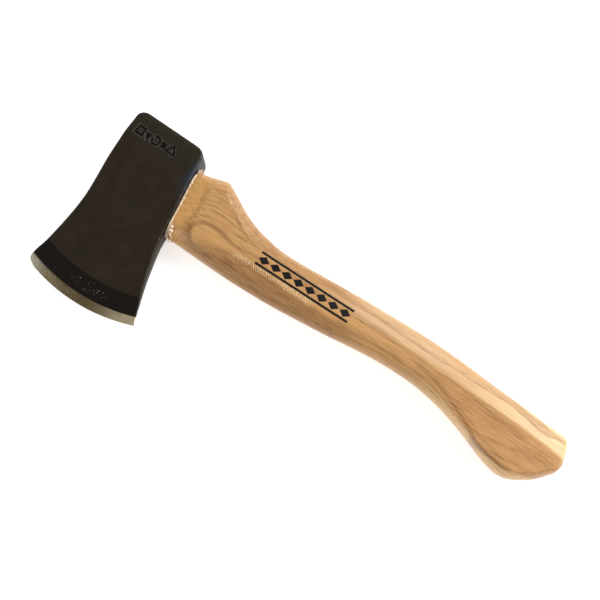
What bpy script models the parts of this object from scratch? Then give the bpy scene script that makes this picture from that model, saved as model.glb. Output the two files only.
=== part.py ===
"""Hatchet lying on its side: a forged steel head on a hickory handle, held by three wedges.

Frame: the origin is on the flat of the lower cheek, under the middle of the eye.
+X runs along the handle to its foot, +Y to the poll, +Z up through both cheeks.
All sizes are in metres, except in the outlines, whose knots are in millimetres.
"""
import math

import bmesh
import bpy
from mathutils import Vector

# ---------------------------------------------------------------- driving dimensions
MM = 0.001
GAP = 0.3 * MM                   # clearance left between touching pieces

CHEEK_WIDTH = 25.0 * MM          # across the two flat cheeks
MID = CHEEK_WIDTH / 2            # height of the plane that halves the hatchet
POLL_Y = 36.0 * MM               # the flat at the back of the head
POLL_ROUND = 6.0 * MM            # rounding of the poll at the top and the underside of the head
POLL_CHEEK_SHARE = 0.4           # along the cheeks the poll is rounded by this share of it
EDGE_Y = -94.0 * MM              # the furthest point of the cutting edge
EDGE_RADIUS = 125.0 * MM         # the cutting edge is an arc of this radius
EDGE_CENTRE_X = 8.0 * MM         # where the arc's furthest point is, along the handle
ARC_FROM = -30.0 * MM            # the rows of the head start to bend to the arc here
ARC_TO = -80.0 * MM              # and follow it fully from here on
CORNER = 2.0 * MM                # radius of the forging's long corners
THIN_CORNER = 0.45               # the same radius where the bit is thin, as a share of half its width

TENON_END_X = -24.7 * MM         # end of the tenon, just proud of the top of the head
TENON_END_SLOPE = -0.087         # the end is dressed to the slope of the head's top
EYE_LENGTH = 43.0 * MM           # the tenon, and the eye around it, from poll to bit
EYE_WIDTH = 16.8 * MM
EYE_SPREAD = 1.4 * MM            # how much the wedges widen the tenon at its end
EYE_OVERRUN = 30.0 * MM          # how far the eye's cutter runs past the head
KERF_DEPTH = 32.0 * MM           # the saw cut that takes the wood wedge
KERF_LENGTH = 60.0 * MM          # longer than the tenon, so the cut is open at both sides
WEDGE_TIP = 0.5 * MM             # thickness of every wedge at its thin end
WEDGE_OVERRUN = 5.0 * MM         # how far a wedge's cutter runs past its thick end

WOOD_WEDGE = (29.0 * MM, 42.6 * MM, 3.2 * MM)      # depth, length along Y, thick end
STEEL_WEDGE = (16.0 * MM, 11.0 * MM, 2.2 * MM)     # depth, length along Z, thick end
STEEL_WEDGE_PLACES = {"steel_wedge_front": -9.5 * MM, "steel_wedge_back": 9.5 * MM}
STEEL_WEDGE_SUNK = 0.4 * MM      # how far the steel wedges are driven below the tenon's end

SHOULDER_STRAIGHT_BY = 90.0 * MM    # from here on the handle's sections are square to it
FOOT_LEANS_FROM = 280.0 * MM     # and from here they turn to the lean of the foot's end
FOOT_LEANS_BY = 320.0 * MM
FOOT_X = 328.7 * MM              # the furthest point of the handle
FOOT_SLOPE = -0.20               # the end of the foot leans back towards the poll side
FOOT_Y = -4.0 * MM               # height on the foot's end that the lean turns about
FOOT_ROUND = 3.0 * MM            # rounding around the end of the foot
BACK_POWER = 2.0                 # the back half of the handle's oval: 2 is a true ellipse
BELLY_POWER = 2.3                # and the belly half: more than 2 is squarer

# Outlines of the head: (place from poll to bit, value).
HEAD_TOP = [(36, -26), (20, -26), (4, -24.8), (-18, -22.7), (-34, -21.9), (-48, -22.5),
            (-75, -25), (-89, -27.4), (-92.6, -26.4), (-94, -22)]
HEAD_UNDERSIDE = [(36, 26.8), (12, 31), (-12, 35.2), (-30, 37.5), (-48.5, 42.4), (-69, 47.9),
                  (-94, 56.3)]
HEAD_WIDTH = [(36, 25), (-3, 25), (-12, 22.8), (-24, 18), (-34, 14.4), (-46, 11.2), (-60, 8.8),
              (-75, 6), (-88, 2.9), (-94, 0.3)]

# Outlines of the handle: (place along the handle, value).
HANDLE_BACK = [(33, 23.9), (41, 25.6), (48, 27.9), (52.6, 29.6), (53.8, 29.8), (55, 29.2),
               (58.5, 27.4), (66, 22.9), (75.5, 17.9), (88, 14), (110, 11.5), (148, 14.5),
               (187, 17.4), (226, 19.1), (276, 17.6), (326, 16.2), (328.7, 15.8)]
HANDLE_BELLY = [(33, -24.4), (75, -24.4), (116, -22.6), (155, -18), (194, -12.4), (219, -11.1),
                (244, -13.4), (270, -19.6), (288, -26), (297, -28), (303, -26.8), (316, -18.3),
                (328.7, -6)]
HANDLE_WIDTH = [(33, 18.6), (44, 21.6), (50, 22.4), (75, 21.6), (110, 20), (160, 20),
                (220, 21.2), (270, 23.2), (300, 24), (328.7, 22.6)]
# The two ridges that bound the planed side, towards the back and towards the belly.
RIDGE_BACK = [(33, 15), (48, 20), (55, 20.5), (64, 15.5), (87, 4), (130, 0), (175, 0), (216, 2),
              (256, 3.5), (311, 2.6), (328.7, 1)]
RIDGE_BELLY = [(33, -13), (55, -14.5), (72, -12), (95, -8.5), (140, -9.5), (170, -7.5),
               (200, -5.3), (225, -5.6), (244, -9.1), (268, -16.9), (292, -23), (303, -22),
               (328.7, -3)]
# How crisp the ridges are: the share of the rounded side's full height at which it is planed.
BACK_PLANED = [(33, 0.94), (70, 0.94), (120, 0.99), (190, 0.985), (235, 0.94), (328.7, 0.92)]
BELLY_PLANED = [(33, 0.95), (70, 0.94), (110, 0.91), (150, 0.92), (190, 0.95), (235, 0.92),
                (328.7, 0.90)]
TENON_FLAT = (-5.0 * MM, 8.0 * MM)         # the same two ridges on the tenon
TENON_PLANED = (0.97, 0.97)

# How finely the lofted pieces are divided.
HEAD_CORNER_STEPS = 3
HEAD_CHEEK_STEPS = 10
HEAD_ROWS = 26
ROWS_APART = 0.6 * MM            # rows of the head that would lie closer than this are merged
HANDLE_ARC_STEPS = 6
HANDLE_FLAT_STEPS = 5
HANDLE_ROWS = 56
TENON_ROWS = 5
ROUNDING_STEPS = 5

# Colour, roughness and metallic value of each finish.
FINISHES = {
    "black_forging": ((0.035, 0.028, 0.022), 0.45, 0.6),
    "hickory": ((0.62, 0.40, 0.19), 0.35, 0.0),
    "wedge_wood": ((0.55, 0.38, 0.20), 0.60, 0.0),
    "wedge_steel": ((0.35, 0.34, 0.32), 0.40, 1.0),
}


# ---------------------------------------------------------------- curves
def smooth(knots, place):
    """Value at a place in metres of the smooth curve through (place in mm, value) knots."""
    knots = sorted(knots)
    place = min(max(place / MM, knots[0][0]), knots[-1][0])
    slopes = []
    for i in range(len(knots)):
        before, after = knots[max(i - 1, 0)], knots[min(i + 1, len(knots) - 1)]
        level = (knots[i][1] - before[1]) * (after[1] - knots[i][1]) <= 0
        inner = 0 < i < len(knots) - 1
        slopes.append(0.0 if inner and level else (after[1] - before[1]) / (after[0] - before[0]))
    i = max(i for i in range(len(knots) - 1) if knots[i][0] <= place)
    step = knots[i + 1][0] - knots[i][0]
    t = (place - knots[i][0]) / step
    start = knots[i][1] * (1 + 2 * t) * (1 - t) ** 2 + slopes[i] * step * t * (1 - t) ** 2
    end = knots[i + 1][1] * t * t * (3 - 2 * t) - slopes[i + 1] * step * t * t * (1 - t)
    return start + end


def outline(knots, place):
    """The same for an outline, whose values are in millimetres, as metres."""
    return smooth(knots, place) * MM


def fade(value, start, stop):
    """0 at start, 1 at stop, and an even S-curve between them."""
    t = min(max((value - start) / (stop - start), 0.0), 1.0)
    return t * t * (3 - 2 * t)


def spread(start, stop, count):
    """Evenly spaced values from start to stop."""
    return [start + (stop - start) * i / (count - 1) for i in range(count)]


def rounding(end, radius):
    """(place, inset) of the rows that round off an end, from the full section to the end."""
    angles = spread(0.0, math.pi / 2, ROUNDING_STEPS + 1)
    return [(end - radius * (1 - math.sin(a)), radius * (1 - math.cos(a))) for a in angles]


FACE_X = outline(HEAD_UNDERSIDE, 0.0)       # underside of the head at the middle of the eye


def face_lean(y):
    """How far along the handle the underside of the head is at y, from its place at 0."""
    return outline(HEAD_UNDERSIDE, y) - FACE_X


# ---------------------------------------------------------------- objects
def finish(name):
    material = bpy.data.materials.get(name)
    if material is None:
        colour, roughness, metallic = FINISHES[name]
        material = bpy.data.materials.new(name)
        material.use_nodes = True
        shader = material.node_tree.nodes["Principled BSDF"]
        shader.inputs["Base Color"].default_value = (*colour, 1.0)
        shader.inputs["Roughness"].default_value = roughness
        shader.inputs["Metallic"].default_value = metallic
    return material


def add_object(name, shape, collection, finish_name=None):
    """Turn a bmesh into an object; one without a finish is a cutter."""
    bmesh.ops.recalc_face_normals(shape, faces=shape.faces)
    mesh = bpy.data.meshes.new(name)
    shape.to_mesh(mesh)
    shape.free()
    thing = bpy.data.objects.new(name, mesh)
    collection.objects.link(thing)
    if finish_name:
        mesh.materials.append(finish(finish_name))
        mesh.shade_smooth()
        mesh.set_sharp_from_angle(angle=math.radians(35))
    else:
        thing.hide_render = True
        thing.display_type = "WIRE"
    return thing


def cut(thing, cutter):
    """Take the cutter's shape out of the thing."""
    modifier = thing.modifiers.new(cutter.name, "BOOLEAN")
    modifier.operation = "DIFFERENCE"
    modifier.solver = "EXACT"
    modifier.object = cutter


def loft(rings):
    """A closed skin through rings whose points i and -i-1 mirror each other across MID."""
    shape = bmesh.new()
    rows = [[shape.verts.new(point) for point in ring] for ring in rings]
    count = len(rows[0])
    for row, following in zip(rows, rows[1:]):
        for i in range(count):
            shape.faces.new((row[i - 1], row[i], following[i], following[i - 1]))
    for row in (rows[0], rows[-1]):
        for i in range(count // 2 - 1):
            shape.faces.new((row[i], row[i + 1], row[-i - 2], row[-i - 1]))
    bmesh.ops.triangulate(shape, faces=shape.faces)
    return shape


# ---------------------------------------------------------------- head
def head_half_section(place, inset):
    """(x, z) from the top of the head over the upper cheek to the underside, z above MID."""
    top = outline(HEAD_TOP, place) + inset
    underside = outline(HEAD_UNDERSIDE, place) - inset
    half = outline(HEAD_WIDTH, place) / 2 - inset * POLL_CHEEK_SHARE
    radius = min(CORNER, half * THIN_CORNER)
    turns = spread(0.0, math.pi / 2, HEAD_CORNER_STEPS + 1)
    first = [(top + radius * (1 - math.cos(a)), half - radius * (1 - math.sin(a))) for a in turns]
    last = [(underside - radius * (1 - math.cos(a)), half - radius * (1 - math.sin(a)))
            for a in reversed(turns)]
    cheek = [(x, half) for x in spread(first[-1][0], last[0][0], HEAD_CHEEK_STEPS + 1)[1:-1]]
    return first + cheek + last


def head_ring(place, inset=0.0):
    """One row around the head, bent to the arc of the cutting edge where the bit begins."""
    ring = []
    half = head_half_section(place, inset)
    for x, z in half + [(x, -z) for x, z in reversed(half)]:
        across = x - EDGE_CENTRE_X
        bend = EDGE_RADIUS - math.sqrt(EDGE_RADIUS ** 2 - across ** 2)
        ring.append(Vector((x, place + bend * fade(place, ARC_FROM, ARC_TO), MID + z)))
    return ring


def head_places():
    """Places of the head's rows from behind the poll's rounding to the cutting edge."""
    start = POLL_Y - POLL_ROUND
    knots = [place * MM for place, _ in HEAD_WIDTH + HEAD_TOP]
    places = [EDGE_Y]
    for place in sorted(knots + spread(start, EDGE_Y, HEAD_ROWS)):
        if places[-1] + ROWS_APART < place < start - ROWS_APART:
            places.append(place)
    return places


def build_head(parts, cutters):
    rows = [head_ring(place) for place in head_places()]
    poll = [head_ring(place, inset) for place, inset in rounding(POLL_Y, POLL_ROUND)]
    head = add_object("head", loft(rows + poll), parts, "black_forging")
    stations = spread(TENON_END_X - EYE_OVERRUN, FACE_X + EYE_OVERRUN, TENON_ROWS)
    cut(head, add_object("eye", loft([tenon_ring(x, GAP) for x in stations]), cutters))


# ---------------------------------------------------------------- handle
def oval_half(outer, ridges, width, planed):
    """(y, z) from the back over the upper side to the belly, z above MID.

    outer, ridges and planed are (back, belly) pairs. A flat runs between the ridges, and from
    each ridge a rounded side, part of an oval, runs out to the back or the belly.
    """
    rounded = []
    for end, ridge, level, power in zip(outer, ridges, planed, (BACK_POWER, BELLY_POWER)):
        steepest = math.asin(level ** (power / 2))
        share = math.cos(steepest) ** (2 / power)
        middle = (ridge - end * share) / (1 - share)
        turns = [steepest * (2 * i + 1) / (2 * HANDLE_ARC_STEPS + 1)
                 for i in range(HANDLE_ARC_STEPS + 1)]
        rounded.append([(middle + (end - middle) * math.cos(a) ** (2 / power),
                         width / level / 2 * math.sin(a) ** (2 / power)) for a in turns])
    flat = [(y, width / 2) for y in spread(*ridges, HANDLE_FLAT_STEPS + 1)]
    return rounded[0] + flat[1:-1] + rounded[1][::-1]


def oval_ring(half, lean):
    """The whole section; lean(y) gives each point's place along the handle."""
    return [Vector((lean(y), y, MID + z)) for y, z in half + [(y, -z) for y, z in reversed(half)]]


def tenon_ring(place, clearance=0.0):
    """A section of the tenon, or of the eye around it when given a clearance."""
    share = (place - FACE_X) / (TENON_END_X - FACE_X)
    lean_share = min(max(share, 0.0), 1.0)
    reach = (EYE_LENGTH + EYE_SPREAD * share) / 2 + clearance
    width = EYE_WIDTH + EYE_SPREAD * share + 2 * clearance

    def lean(y):
        return place + face_lean(y) * (1 - lean_share) + TENON_END_SLOPE * y * lean_share

    half = oval_half((reach, -reach), TENON_FLAT[::-1], width, TENON_PLANED)
    return oval_ring(half, lean)


def handle_ring(place, inset=0.0):
    """A section of the handle outside the head."""
    outer = (outline(HANDLE_BACK, place) - inset, outline(HANDLE_BELLY, place) + inset)
    ridges = (outline(RIDGE_BACK, place) - inset, outline(RIDGE_BELLY, place) + inset)
    width = outline(HANDLE_WIDTH, place) - 2 * inset
    planed = (smooth(BACK_PLANED, place), smooth(BELLY_PLANED, place))
    half = oval_half(outer, ridges, width, planed)
    at_head = 1 - fade(place, FACE_X, SHOULDER_STRAIGHT_BY)
    at_foot = fade(place, FOOT_LEANS_FROM, FOOT_LEANS_BY)

    def lean(y):
        return place + face_lean(y) * at_head + FOOT_SLOPE * (y - FOOT_Y) * at_foot

    return oval_ring(half, lean)


def build_handle(parts):
    shoulder = FACE_X + GAP
    tenon = [tenon_ring(x) for x in spread(TENON_END_X, shoulder, TENON_ROWS)]
    grip = [handle_ring(x) for x in spread(shoulder, FOOT_X - FOOT_ROUND, HANDLE_ROWS)]
    foot = [handle_ring(x, inset) for x, inset in rounding(FOOT_X, FOOT_ROUND)[1:]]
    return add_object("handle", loft(tenon + grip + foot), parts, "hickory")


# ---------------------------------------------------------------- wedges
def wedge(size, long_axis, y, sunk=0.0, clearance=0.0, overrun=0.0):
    """A wedge driven along +X into the tenon, with its thick end leaning as the tenon's end does.

    A cutter gets a clearance all round and an overrun past the thick end.
    """
    depth, length, thick = size
    taper = (thick - WEDGE_TIP) / depth
    shape = bmesh.new()
    bmesh.ops.create_cube(shape, size=1.0)
    for vert in shape.verts:
        driven = depth + clearance if vert.co.x > 0 else -overrun
        thickness = thick - taper * driven + 2 * clearance
        spans = (length + 2 * clearance, thickness)
        y_span, z_span = spans if long_axis == "Y" else reversed(spans)
        place = y + vert.co.y * y_span
        x = TENON_END_X + sunk + driven + TENON_END_SLOPE * place
        vert.co = Vector((x, place, MID + vert.co.z * z_span))
    return shape


def build_wedges(parts, handle, cutters):
    wood = add_object("wood_wedge", wedge(WOOD_WEDGE, "Y", 0.0), parts, "wedge_wood")
    kerf = (KERF_DEPTH, KERF_LENGTH, WOOD_WEDGE[2])
    cut(handle, add_object("kerf", wedge(kerf, "Y", 0.0, 0.0, GAP, WEDGE_OVERRUN), cutters))
    for name, y in STEEL_WEDGE_PLACES.items():
        add_object(name, wedge(STEEL_WEDGE, "Z", y, STEEL_WEDGE_SUNK), parts, "wedge_steel")
        slot = wedge(STEEL_WEDGE, "Z", y, STEEL_WEDGE_SUNK, GAP, WEDGE_OVERRUN)
        cutter = add_object(name + "_slot", slot, cutters)
        cut(handle, cutter)
        cut(wood, cutter)


# ---------------------------------------------------------------- assembly
def add_collection(name):
    collection = bpy.data.collections.new(name)
    bpy.context.scene.collection.children.link(collection)
    return collection


def main():
    for thing in list(bpy.data.objects):
        bpy.data.objects.remove(thing, do_unlink=True)
    parts = add_collection("hatchet")
    cutters = add_collection("cutters")
    build_head(parts, cutters)
    handle = build_handle(parts)
    build_wedges(parts, handle, cutters)


main()
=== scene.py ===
# %% [markdown]
# A hatchet lies on its side: a forged steel head, black from the forge, wedged on a hickory
# handle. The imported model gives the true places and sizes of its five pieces. This lesson puts
# the surface on them: forge scale, a ground edge, wood grain, and the shavings that were pushed
# up when the handle was driven into the head. Everything is in metres, and outlines are in
# millimetres.

# %% Load the fixed frame
import math
import random

import bmesh
import bpy
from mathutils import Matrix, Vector, noise


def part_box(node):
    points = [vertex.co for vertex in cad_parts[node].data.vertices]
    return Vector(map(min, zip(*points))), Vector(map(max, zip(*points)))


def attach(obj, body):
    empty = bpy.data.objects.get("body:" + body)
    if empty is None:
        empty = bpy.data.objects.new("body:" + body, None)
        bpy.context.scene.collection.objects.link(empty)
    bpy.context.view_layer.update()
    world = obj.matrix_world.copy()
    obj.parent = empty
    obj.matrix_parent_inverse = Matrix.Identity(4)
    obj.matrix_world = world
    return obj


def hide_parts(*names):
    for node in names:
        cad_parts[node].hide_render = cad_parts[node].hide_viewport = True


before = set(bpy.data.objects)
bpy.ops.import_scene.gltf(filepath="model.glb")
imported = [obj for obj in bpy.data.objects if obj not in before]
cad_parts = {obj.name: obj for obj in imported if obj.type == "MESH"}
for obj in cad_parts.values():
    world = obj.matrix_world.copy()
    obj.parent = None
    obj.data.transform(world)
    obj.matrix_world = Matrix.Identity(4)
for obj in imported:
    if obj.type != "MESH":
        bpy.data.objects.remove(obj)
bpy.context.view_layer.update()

MM = 0.001
HEAD_LOW, HEAD_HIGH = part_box("head")
MID = (HEAD_LOW.z + HEAD_HIGH.z) / 2

# %% [markdown]
# The camera looks down on the hatchet, a little from the side of the foot and the bit. A long
# lens from 62 cm keeps both cheeks nearly square. The view transform is set to Standard, so the
# colours of the materials come out as they are given.

# %% Camera
CAMERA_TARGET = Vector((134.2, -8.0, 12.5)) * MM
CAMERA_AZIMUTH = math.radians(35.3)
CAMERA_ELEVATION = math.radians(78.0)
CAMERA_DISTANCE = 620 * MM
CAMERA_LENS, SENSOR_WIDTH = 57.14, 36.0       # in millimetres, as Blender counts them
CLIP_START = 20 * MM


def direction(azimuth, elevation):
    """The way from the object out to something at this azimuth and elevation."""
    flat = math.cos(elevation)
    return Vector((math.sin(azimuth) * flat, -math.cos(azimuth) * flat, math.sin(elevation)))


def look_at(thing, target, out, distance):
    """Put a camera or light at a distance from the target, facing it."""
    thing.location = target + out * distance
    thing.rotation_euler = out.to_track_quat("Z", "Y").to_euler()


scene = bpy.context.scene
camera = bpy.data.objects.new("camera", bpy.data.cameras.new("camera"))
camera.data.lens = CAMERA_LENS
camera.data.sensor_width = SENSOR_WIDTH
camera.data.clip_start = CLIP_START
scene.collection.objects.link(camera)
look_at(camera, CAMERA_TARGET, direction(CAMERA_AZIMUTH, CAMERA_ELEVATION), CAMERA_DISTANCE)
scene.camera = camera
scene.view_settings.view_transform = "Standard"
print("camera at", [round(v, 3) for v in camera.location])

# %% [markdown]
# A large soft light, the window, stands behind the hatchet's back, low enough to brighten the
# wood's upper round and to leave the belly darker. A small one, the door, stands past the foot. A
# weaker one fills from the belly's side, beyond the bit. A dark glossy cheek shows a light as a
# mirror does, so none of the three stands where the cheek would throw it at the camera.

# %% Lights
LIGHTS = {  # name: azimuth, elevation, distance, size, power
    "window": (math.radians(158), math.radians(36), 0.95, 0.7, 7.4),
    "door": (math.radians(108), math.radians(28), 0.60, 0.3, 1.3),
    "fill": (math.radians(-35), math.radians(30), 1.2, 0.8, 4.0),
}


def add_light(name, azimuth, elevation, distance, size, power):
    lamp = bpy.data.lights.new(name, "AREA")
    lamp.shape = "SQUARE"
    lamp.size = size
    lamp.energy = power
    light = bpy.data.objects.new(name, lamp)
    scene.collection.objects.link(light)
    look_at(light, CAMERA_TARGET, direction(azimuth, elevation), distance)


for light_name, placing in LIGHTS.items():
    add_light(light_name, *placing)

print("lights:", ", ".join(LIGHTS))

# %% [markdown]
# Node trees are easier to read when each node takes one call. These helpers add a node, wire
# what feeds it, and hand back the socket that the next node needs.

# %% Helpers for node trees
def add_node(tree, kind, inputs=(), **settings):
    """Add a shader node; each input is a socket to link or a plain value."""
    node = tree.nodes.new("ShaderNode" + kind)
    for name, value in settings.items():
        setattr(node, name, value)
    for key, value in dict(inputs).items():
        if isinstance(value, bpy.types.NodeSocket):
            tree.links.new(value, node.inputs[key])
        else:
            node.inputs[key].default_value = value
    return node


def calc(tree, operation, *values):
    return add_node(tree, "Math", enumerate(values), operation=operation).outputs[0]


def product(tree, *values):
    result = values[0]
    for value in values[1:]:
        result = calc(tree, "MULTIPLY", result, value)
    return result


def distance(tree, first, second):
    """How far off a point is whose two offsets are given."""
    squares = calc(tree, "ADD", product(tree, first, first), product(tree, second, second))
    return calc(tree, "SQRT", squares)


def parts(tree, vector):
    """The x, y and z of a vector."""
    return tuple(add_node(tree, "SeparateXYZ", {0: vector}).outputs)


def ease(tree, value, start, stop, low=0.0, high=1.0):
    """An S-curve from low at start to high at stop."""
    inputs = {"Value": value, "From Min": start, "From Max": stop, "To Min": low, "To Max": high}
    return add_node(tree, "MapRange", inputs, interpolation_type="SMOOTHSTEP").outputs[0]


def blotches(tree, place, size, stretch=(1, 1, 1), detail=3.0, roughness=0.55):
    """Noise from 0 to 1; size is that of its blotches in millimetres, times stretch."""
    scale = [1 / (size * s) for s in stretch]
    moved = add_node(tree, "Mapping", {"Vector": place, "Scale": scale}).outputs[0]
    inputs = {"Vector": moved, "Scale": 1.0, "Detail": detail, "Roughness": roughness}
    return add_node(tree, "TexNoise", inputs).outputs[0]


def ruffle(tree, value, amount, place, size, stretch=(1, 1, 1), detail=3.0):
    """The value made uneven, by up to half the amount either way."""
    uneven = calc(tree, "SUBTRACT", blotches(tree, place, size, stretch, detail), 0.5)
    return calc(tree, "MULTIPLY_ADD", uneven, amount, value)


def mix(tree, share, first, second):
    """A colour from first to second, as the share goes from 0 to 1."""
    inputs = {0: share, 6: first, 7: second}          # the colour sockets of this node
    return add_node(tree, "Mix", inputs, data_type="RGBA").outputs[2]


def millimetres(tree):
    """Each point's place in the frame, in millimetres."""
    place = add_node(tree, "TexCoord").outputs["Object"]
    return add_node(tree, "VectorMath", {0: place, "Scale": 1 / MM}, operation="SCALE").outputs[0]


def new_group(name, inputs, outputs):
    """An empty node group; inputs have a name, a kind and a value, and outputs are numbers."""
    tree = bpy.data.node_groups.new(name, "ShaderNodeTree")
    for label, kind, value in inputs:
        socket = tree.interface.new_socket(label, in_out="INPUT", socket_type="NodeSocket" + kind)
        socket.default_value = value
    for label in outputs:
        tree.interface.new_socket(label, in_out="OUTPUT", socket_type="NodeSocketFloat")
    return tree, tree.nodes.new("NodeGroupInput").outputs, tree.nodes.new("NodeGroupOutput").inputs


def use_group(tree, group, **inputs):
    return add_node(tree, "Group", inputs, node_tree=group).outputs


def new_material(name, **constants):
    """A material and its tree and shader; constants are values on the shader's own sockets."""
    material = bpy.data.materials.new(name)
    material.use_nodes = True
    shader = material.node_tree.nodes["Principled BSDF"]
    for label, value in constants.items():
        shader.inputs[label.replace("_", " ")].default_value = value
    return material, material.node_tree, shader


def plug(tree, shader, **sockets):
    """Link sockets to the shader's inputs; an underscore stands for a space."""
    for label, socket in sockets.items():
        tree.links.new(socket, shader.inputs[label.replace("_", " ")])


def bump(tree, height, depth):
    """A normal from a height from 0 to 1 that stands for this many millimetres."""
    inputs = {"Height": height, "Distance": depth * MM}
    return add_node(tree, "Bump", inputs).outputs[0]


print("helpers for node trees are ready")

# %% [markdown]
# The sky is a plain white world that lights the hatchet evenly from all round. Light Path tells
# the rays that start at the camera from those that carry light. The camera's own rays meet full
# white, so past the end of the floor the sky is as white as the floor, and the light that it
# gives stays weak.

# %% Sky
SKY = 0.38
world = bpy.data.worlds.new("studio")
world.use_nodes = True
sky_tree = world.node_tree
seen = add_node(sky_tree, "LightPath").outputs["Is Camera Ray"]
sky = sky_tree.nodes["Background"]
sky.inputs["Color"].default_value = (1.0, 1.0, 1.0, 1.0)
sky_tree.links.new(calc(sky_tree, "MULTIPLY_ADD", seen, 1 - SKY, SKY), sky.inputs["Strength"])
scene.world = world
print("sky gives", SKY)

# %% [markdown]
# The floor is a big sheet of white card.

# %% White card floor
FLOOR_SIZE, FLOOR_GAP = 16.0, 0.05 * MM
FLOOR_GLOW = 0.62


def card_finish():
    material, tree, shader = new_material("white_card", Roughness=0.9, Emission_Strength=FLOOR_GLOW)
    tooth = blotches(tree, millimetres(tree), 0.8)
    shade = mix(tree, tooth, (0.84, 0.84, 0.84, 1), (0.88, 0.88, 0.88, 1))
    shader.inputs["Emission Color"].default_value = (1.0, 1.0, 1.0, 1.0)
    plug(tree, shader, Base_Color=shade, Normal=bump(tree, tooth, 0.05))
    return material


sheet = bpy.data.meshes.new("floor")
half_floor = FLOOR_SIZE / 2
signs = ((-1, -1), (1, -1), (1, 1), (-1, 1))
sheet.from_pydata([(x * half_floor, y * half_floor, 0) for x, y in signs], [], [(0, 1, 2, 3)])
sheet.materials.append(card_finish())
floor = bpy.data.objects.new("floor", sheet)
floor.location = CAMERA_TARGET.x, CAMERA_TARGET.y, HEAD_LOW.z - FLOOR_GAP
scene.collection.objects.link(floor)
print("floor", FLOOR_SIZE, "m square")

# %% [markdown]
# The head and the handle are both lofts: a section is drawn at each place along the piece and
# the sections are skinned. A few knots give each outline, and a smooth curve runs through them.
# The same knots drive the solid model, so the fine meshes made here fit it.

# %% Curves for the outlines
def smooth(knots, place):
    """Value at a place in metres of the smooth curve through (place in mm, value) knots."""
    knots = sorted(knots)
    place = min(max(place / MM, knots[0][0]), knots[-1][0])
    slopes = []
    for i in range(len(knots)):
        before, after = knots[max(i - 1, 0)], knots[min(i + 1, len(knots) - 1)]
        level = (knots[i][1] - before[1]) * (after[1] - knots[i][1]) <= 0
        inner = 0 < i < len(knots) - 1
        slopes.append(0.0 if inner and level else (after[1] - before[1]) / (after[0] - before[0]))
    i = max(i for i in range(len(knots) - 1) if knots[i][0] <= place)
    step = knots[i + 1][0] - knots[i][0]
    t = (place - knots[i][0]) / step
    start = knots[i][1] * (1 + 2 * t) * (1 - t) ** 2 + slopes[i] * step * t * (1 - t) ** 2
    end = knots[i + 1][1] * t * t * (3 - 2 * t) - slopes[i + 1] * step * t * t * (1 - t)
    return start + end


def outline(knots, place):
    return smooth(knots, place) * MM


def fade(value, start, stop):
    """0 at start, 1 at stop, and an even S-curve between them."""
    t = min(max((value - start) / (stop - start), 0.0), 1.0)
    return t * t * (3 - 2 * t)


def spread(start, stop, count):
    return [start + (stop - start) * i / (count - 1) for i in range(count)]


def rounding(end, radius, steps):
    """(place, inset) of the rows that round off an end, from the full section to the end."""
    angles = spread(0.0, math.pi / 2, steps + 1)
    return [(end - radius * (1 - math.sin(a)), radius * (1 - math.cos(a))) for a in angles]


print("a round end of 3 mm takes", len(rounding(0.0, 3 * MM, 7)), "rows")

# %% [markdown]
# A loft is a closed skin over rings of points. A piece is a bmesh while it is being shaped, and
# becomes an object once its form is right: smooth all over, except at its crisp edges. A cut is a
# Boolean modifier that is worked out once and kept, because only a plain mesh can be measured.

# %% Skins, pieces and cuts
SHARP_ANGLE = math.radians(32)


def skin(rings):
    """A closed bmesh through rings whose points i and -i-1 mirror each other."""
    shape = bmesh.new()
    rows = [[shape.verts.new(point) for point in ring] for ring in rings]
    count = len(rows[0])
    for row, following in zip(rows, rows[1:]):
        for i in range(count):
            shape.faces.new((row[i - 1], row[i], following[i], following[i - 1]))
    for row in (rows[0], rows[-1]):
        for i in range(count // 2 - 1):
            shape.faces.new((row[i], row[i + 1], row[-i - 2], row[-i - 1]))
    bmesh.ops.recalc_face_normals(shape, faces=shape.faces)
    return shape


def shade_crisply(mesh):
    """Smooth shading, with the sharp edges kept crisp."""
    mesh.shade_smooth()
    mesh.set_sharp_from_angle(angle=SHARP_ANGLE)


def add_piece(name, shape):
    """Turn a bmesh into an object, and free the bmesh."""
    mesh = bpy.data.meshes.new(name)
    shape.to_mesh(mesh)
    shape.free()
    shade_crisply(mesh)
    piece = bpy.data.objects.new(name, mesh)
    scene.collection.objects.link(piece)
    return piece


def carve(piece, *shapes):
    """Cut shapes out of a piece, and keep the result as its mesh."""
    cutters = [add_piece("cutter", shape) for shape in shapes]
    for cutter in cutters:
        modifier = piece.modifiers.new("carve", "BOOLEAN")
        modifier.operation = "DIFFERENCE"
        modifier.solver = "EXACT"
        modifier.object = cutter
    bpy.context.view_layer.update()
    evaluated = piece.evaluated_get(bpy.context.evaluated_depsgraph_get())
    carved = bpy.data.meshes.new_from_object(evaluated)
    piece.modifiers.clear()
    piece.data = carved
    for cutter in cutters:
        bpy.data.objects.remove(cutter, do_unlink=True)
    shade_crisply(carved)


def cover(piece, material):
    """Give a piece this finish and no other."""
    piece.data.materials.clear()
    piece.data.materials.append(material)


print("sharp from", round(math.degrees(SHARP_ANGLE)), "degrees")


# %% [markdown]
# The head runs from the flat poll, over two parallel cheeks around the eye, down to a thin bit
# whose edge is an arc. Rows of the loft lie across the head, and towards the bit they bend to
# the arc. The last 6 mm are ground: a flat bevel with a crisp line where it meets the scale.

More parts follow.
